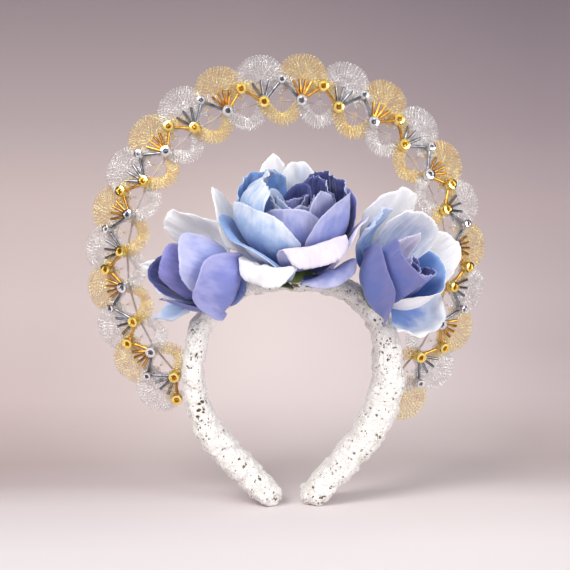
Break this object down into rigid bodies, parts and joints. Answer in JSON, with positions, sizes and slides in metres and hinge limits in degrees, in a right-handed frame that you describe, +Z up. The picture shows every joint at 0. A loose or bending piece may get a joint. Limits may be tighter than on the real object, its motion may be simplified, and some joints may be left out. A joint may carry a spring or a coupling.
{
  "type": "halo crown headband",
  "caption": "Padded lace-wound headband with three cloth roses and a beaded halo of crossed gold and silver net tapes behind them.",
  "frame": {"origin": "on the floor below the middle of the crown's box, between the headband's two feet", "axes": "+Z up through the top of the arch, +X to the viewer's right, -Y towards the viewer, the way the roses face"},
  "size_m": [0.2764, 0.1096, 0.3027],
  "materials": {
    "lace": "matte",
    "gold_net": "matte",
    "silver_net": "matte",
    "beads": "gloss",
    "wire": "satin",
    "petal_pale": "matte",
    "petal_blue": "matte",
    "petal_violet": "matte",
    "petal_white": "matte",
    "leaf": "matte"
  },
  "bodies": {
    "root": {"headband": "lace", "gold_net_tape": "gold_net", "silver_net_tape": "silver_net", "bead_string_left": "beads", "bead_string_right": "beads", "halo_wire": "wire", "centre_heart": "petal_violet", "left_heart": "petal_violet", "right_heart": "petal_violet", "centre_inner_left": "petal_pale", "centre_inner_right": "petal_violet", "centre_inner_back": "petal_violet", "centre_cup_front": "petal_violet", "centre_cup_right": "petal_violet", "centre_cup_left": "petal_pale", "centre_cup_back_right": "petal_blue", "centre_cup_back_left": "petal_pale", "centre_mid_left": "petal_pale", "centre_mid_right": "petal_violet", "centre_mid_side": "petal_violet", "centre_outer_left_front": "petal_blue", "centre_outer_front": "petal_violet", "centre_outer_right": "petal_violet", "centre_outer_left": "petal_white", "centre_outer_back": "petal_white", "centre_outer_back_right": "petal_pale", "centre_under_left": "petal_white", "centre_under_right": "petal_violet", "centre_leaf_left": "leaf", "centre_leaf_right": "leaf", "left_inner_top": "petal_violet", "left_inner_low": "petal_violet", "left_mid_top": "petal_violet", "left_mid_low": "petal_violet", "left_outer_front": "petal_violet", "left_pale_top": "petal_white", "left_pale_back": "petal_white", "left_pale_side": "petal_pale", "left_pale_low": "petal_pale", "right_inner_right": "petal_violet", "right_inner_left": "petal_violet", "right_mid_left": "petal_blue", "right_mid_right": "petal_white", "right_outer_front": "petal_violet", "right_outer_right": "petal_white", "right_outer_back": "petal_white", "right_outer_left": "petal_pale", "right_outer_top": "petal_white", "right_open_low": "petal_white"}
  },
  "joints": []
}
